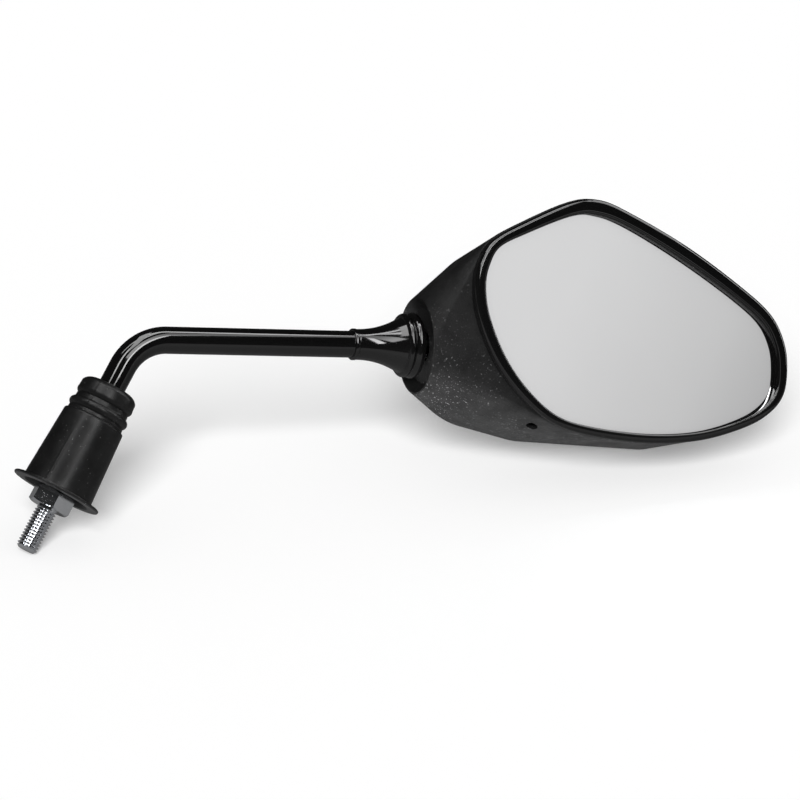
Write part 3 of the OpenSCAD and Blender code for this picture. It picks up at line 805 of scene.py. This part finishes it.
def makeHousing():
    s = shell
    atBall = Matrix.Translation(ballCentre)
    joint = atBall @ armTurn
    seat = -s["seatReach"]
    floorBack = seat + s["seatDepth"] + s["floorThick"]
    form = combine(shellForm(0), shellForm(s["wall"]), "DIFFERENCE")
    form = combine(form, openingForm(), "DIFFERENCE")
    floor = rodMesh(s["seatRadius"] - s["wall"] + 0.6, seat + 0.5, floorBack, joint, steps=s["roundSteps"])
    form = combine(form, floor, "UNION")
    backingBack = -rim["front"] + rim["sink"] + rim["glass"] + rim["pad"] + 2.2
    inner = shellForm(s["wall"] / 2)
    for x, z in s["bosses"]:
        corner = Vector((rim["out"] + x, backingBack, rim["up"] + z)) * mm
        place = atBall @ Matrix.Translation(corner) @ Matrix.Rotation(-pi / 2, 4, "X")
        post = combine(rodMesh(s["boss"], 0, 60, place, steps=40), inner.copy(), "INTERSECT")
        form = combine(form, post, "UNION")
        form = combine(form, rodMesh(s["bossBore"], -1, 13, place, steps=24), "DIFFERENCE")
    dish = rodMesh(s["seatRadius"] - 0.8, seat - 0.01, seat + s["seatDepth"], joint, s["floorRadius"], 128)
    form = combine(form, dish, "DIFFERENCE")
    neck = rodMesh(s["neckHole"], seat, floorBack + 1, joint, steps=s["roundSteps"])
    form = combine(form, neck, "DIFFERENCE")
    tip, swing = (radians(angle) for angle in s["drainTurn"])
    drain = atBall @ Matrix.Translation(Vector(s["drainPlace"]) * mm)
    drain = drain @ Matrix.Rotation(swing, 4, "Z") @ Matrix.Rotation(tip, 4, "Y")
    for side in (-1, 1):
        hole = drain @ Matrix.Translation(Vector((0, side * s["drain"] * s["drainShare"], 0)) * mm)
        rod = rodMesh(s["drain"] / 2, -s["drainDepth"], s["drainDepth"], hole, steps=40)
        form = combine(form, rod, "DIFFERENCE")
    piece = addPiece("housingShell", form, "head", "housing_plastic", 14)
    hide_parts("housing_shell")


makeHousing()
print("housing made")


# Studio

studio = {
    "floorTilt": 24.0, "floorRoll": -3.0, "floorReach": 6.0, "floorLevel": 0.86, "floorLift": 0.14,
    "worldLight": 0.32, "darkRoom": 0.02,
    # how bright the floor's paper looks in polished parts: darker under the part as a painted shadow, in
    # front of it, and where the table ends
    "paperShadowNear": 0.14, "paperFront": 0.34, "tableEdge": 0.62,
    "sunTilt": 56.0, "sunSide": 0.05, "sunAngle": 26.0, "underLight": 6.5, "underAngle": 50.0,
}


def makeFloor():
    tilt, roll = radians(studio["floorTilt"]), radians(studio["floorRoll"])
    upward = shot["up"] * cos(roll) - shot["right"] * sin(roll)
    normal = (upward * cos(tilt) + shot["toward"] * sin(tilt)).normalized()
    low = min(normal.dot(v.co) for item in list(nodes.values()) for v in item.data.vertices)
    base = normal * low
    side = normal.cross(shot["toward"]).normalized()
    ahead = side.cross(normal)
    if ahead.dot(shot["toward"]) < 0:
        ahead = -ahead
    reach = studio["floorReach"]
    mesh = bpy.data.meshes.new("studioFloor")
    corners = ((-1, -1), (1, -1), (1, 1), (-1, 1))
    mesh.from_pydata([base + side * a * reach + ahead * b * reach for a, b in corners], [], [(0, 1, 2, 3)])
    mesh.update()
    if mesh.polygons[0].normal.dot(normal) < 0:
        mesh.flip_normals()
    material = bpy.data.materials.new("floorPaper")
    material.use_nodes = True
    material.node_tree.nodes.clear()
    tree = Tree(material.node_tree)
    path = tree.add("ShaderNodeLightPath", out=None)
    camera, glossy = Val(tree, path.outputs["Is Camera Ray"]), Val(tree, path.outputs["Is Glossy Ray"])
    back = tree.add("ShaderNodeNewGeometry", out="Backfacing")
    where = tree.where()
    product = {"operation": "DOT_PRODUCT"}
    distance = tree.add("ShaderNodeVectorMath", product, [where, tuple(ahead)], out="Value")
    distance = distance - ahead.dot((cadBox[0] + cadBox[1]) / 2)
    # the ramp runs from 0.5 m behind the part to 1.5 m in front
    edge = 0.25 + studio["tableEdge"] / 2
    # the first stops paint a shadow under the part into the paper that polished parts mirror
    stops = [(0.1, 0.05), (0.25, studio["paperShadowNear"]), (0.34, studio["paperFront"])]
    stops += [(edge, studio["paperFront"]), (edge + 0.01, studio["darkRoom"])]
    paperShineAndShadow = tree.ramp((distance + 0.5) / 2, stops)
    level = glossy * paperShineAndShadow + (1 - glossy) * studio["floorLevel"]
    colour = tree.add("ShaderNodeCombineXYZ", None, [level, level, level])
    paper = tree.add("ShaderNodeBsdfDiffuse", None, {"Color": colour})
    glow = {"Color": (1, 1, 1, 1), "Strength": camera * studio["floorLift"]}
    lift = tree.add("ShaderNodeEmission", None, glow)
    both = tree.add("ShaderNodeAddShader", None, [paper, lift])
    clear = tree.add("ShaderNodeBsdfTransparent")
    mixed = tree.add("ShaderNodeMixShader", None, [back * camera, both, clear])
    tree.add("ShaderNodeOutputMaterial", None, {"Surface": mixed}, out=None)
    mesh.materials.append(material)
    floor = bpy.data.objects.new("studioFloor", mesh)
    scene.collection.objects.link(floor)
    floor.visible_shadow = False
    return normal, ahead


floorNormal, floorAhead = makeFloor()


def makeWorld():
    world = bpy.data.worlds.new("studioWorld")
    scene.world = world
    world.use_nodes = True
    world.node_tree.nodes.clear()
    tree = Tree(world.node_tree)
    path = tree.add("ShaderNodeLightPath", out=None)
    camera, glossy = Val(tree, path.outputs["Is Camera Ray"]), Val(tree, path.outputs["Is Glossy Ray"])
    level = camera + glossy * studio["darkRoom"] + (1 - camera) * (1 - glossy) * studio["worldLight"]
    light = tree.add("ShaderNodeBackground", None, {"Color": (1, 1, 1, 1), "Strength": level})
    tree.add("ShaderNodeOutputWorld", None, {"Surface": light}, out=None)


makeWorld()


def addSun(name, toward, angle, level):
    # soft light without a highlight of its own
    data = bpy.data.lights.new(name, "SUN")
    data.angle = radians(angle)
    data.energy = level * pi
    lamp = bpy.data.objects.new(name, data)
    lamp.matrix_world = toward.to_track_quat("Z", "Y").to_matrix().to_4x4()
    lamp.visible_glossy = False
    scene.collection.objects.link(lamp)


def glowMaterial(name, stops, level):
    material = bpy.data.materials.new(name)
    material.use_nodes = True
    material.node_tree.nodes.clear()
    tree = Tree(material.node_tree)
    split = tree.add("ShaderNodeSeparateXYZ", None, [tree.where("UV")])
    glow = tree.add("ShaderNodeEmission", None, {"Color": tree.ramp(split, stops), "Strength": level})
    tree.add("ShaderNodeOutputMaterial", None, {"Surface": glow}, out=None)
    return material


def addPanel(name, points, faces, shares, stops, level):
    # a glowing card seen only in reflections; each point's share is its place among the stops
    mesh = bpy.data.meshes.new(name)
    mesh.from_pydata([tuple(point) for point in points], [], faces)
    card = mesh.uv_layers.new(name="card")
    for loop in mesh.loops:
        card.data[loop.index].uv = (shares[loop.vertex_index], 0)
    mesh.materials.append(glowMaterial(name, stops, level))
    panel = bpy.data.objects.new(name, mesh)
    scene.collection.objects.link(panel)
    panel.visible_camera = False
    panel.visible_diffuse = False
    panel.visible_shadow = False


def addStrip(name, first, last, widths, level, stops=((0.0, 1.0), (1.0, 1.0)), spare=(0.1, 0.1)):
    # each end is a point on the part, the direction in which it sees the strip's end, and the distance
    ends = [point + Vector(way).normalized() * distance for point, way, distance in (first, last)]
    along = (ends[1] - ends[0]).normalized()
    across = along.cross(first[0] - ends[0]).normalized()
    low, high = across * widths[0] / 2, across * widths[1] / 2
    start, stop = ends[0] - along * spare[0], ends[1] + along * spare[1]
    corners = [start - low, stop - high, stop + high, start + low]
    addPanel(name, corners, [(0, 1, 2, 3)], (0, 1, 1, 0), stops, level)


# points of the part and the directions in which they should mirror a lamp towards the camera
legPoint = Vector((0, 0, 0.0715))
runPoint = alongArm(55).translation
bellPoint = alongArm(trumpet["start"] + 11).translation
ringPoint = alongArm(trumpet["start"] + trumpet["length"] - 2).translation
# the two lines on the leg, the line along the run
addStrip("frontStrip", (legPoint, (-0.048, -0.984, 0.174), 1.2), (runPoint, (-0.085, -0.29, 0.95), 1.2),
         (0.22, 0.03), 12.0, ((0.0, 1.0), (0.5, 0.8), (0.72, 0.35), (0.9, 0.0)), (0.05, 0.0))
addStrip("leftStrip", (legPoint, (-0.80, -0.573, 0.174), 1.2), (runPoint, (-0.10, -0.17, 0.98), 1.2),
         (0.23, 0.03), 9.0, ((0.0, 1.0), (0.6, 0.8), (0.9, 0.0)), (0.05, 0.0))
addStrip("archStrip", (runPoint, (-0.93, -0.10, 0.34), 1.9), (runPoint, (0.86, -0.14, 0.46), 1.5),
         (0.12, 0.12), 7.0)
# the collar's streak, the windows on its bell and ring
addStrip("bellStrip", (bellPoint, (-0.48, -0.84, 0.26), 0.5), (bellPoint, (-0.10, -0.36, 0.93), 0.5),
         (0.18, 0.05), 5.0, ((0.0, 0.9), (0.15, 1.0), (0.5, 0.45), (1.0, 0.3)))
addStrip("bellWindow", (bellPoint, (-0.77, -0.50, 0.40), 0.5), (bellPoint, (-0.77, -0.10, 0.63), 0.5),
         (0.14, 0.14), 4.5)
addStrip("ringWindow", (ringPoint, (0.05, -0.2, 0.98), 0.5), (ringPoint, (0.45, -0.2, 0.87), 0.5),
         (0.3, 0.3), 3.0, spare=(0.0, 0.0))
# pale light on the right edges of the boot and the leg
addStrip("backCard", (legPoint, (0.99, 0.0, 0.17), 1.0), (legPoint, (0.80, 0.57, 0.17), 1.0),
         (0.8, 0.8), 0.7, ((0.0, 0.4), (0.3, 1.0), (1.0, 1.0)))
sunWay = floorNormal * cos(radians(studio["sunTilt"])) + floorAhead * sin(radians(studio["sunTilt"]))
sunWay = (sunWay - shot["right"] * studio["sunSide"]).normalized()
addSun("ceiling", sunWay, studio["sunAngle"], (1 - studio["worldLight"]) / sunWay.dot(floorNormal))
addSun("underLight", Vector((0.1, 0.2, -0.97)).normalized(), studio["underAngle"], studio["underLight"])


card = {
    "distance": 0.5, "spare": 1.02,
    "stops": [(0.05, 0.80), (0.28, 0.785), (0.52, 0.72), (0.77, 0.65), (1.0, 0.52)],
}


def addCard():
    # a pale card in the glass's own outline: the glass mirrors it towards the camera and the rim doesn't
    outline = rimInset(rim["face"] + 0.3)[::4]
    low, high = min(p[0] for p in outline), max(p[0] for p in outline)
    points = []
    for p in outline:
        point = headPoint(p[0], rim["sink"] - rim["front"], p[1])
        ray = (point - shot["place"]).normalized()
        ray.y = -ray.y
        points.append(point + ray * card["distance"])
    middle = sum(points, Vector()) / len(points)
    points = [middle + (point - middle) * card["spare"] for point in points] + [middle]
    shares = [(p[0] - low) / (high - low) for p in outline]
    last = len(outline)
    faces = [(last, i, (i + 1) % last) for i in range(last)]
    shares.append(sum(shares) / last)
    addPanel("mirrorCard", points, faces, shares, card["stops"], 1.0)


addCard()
scene.view_settings.view_transform = "Standard"
print("studio set")
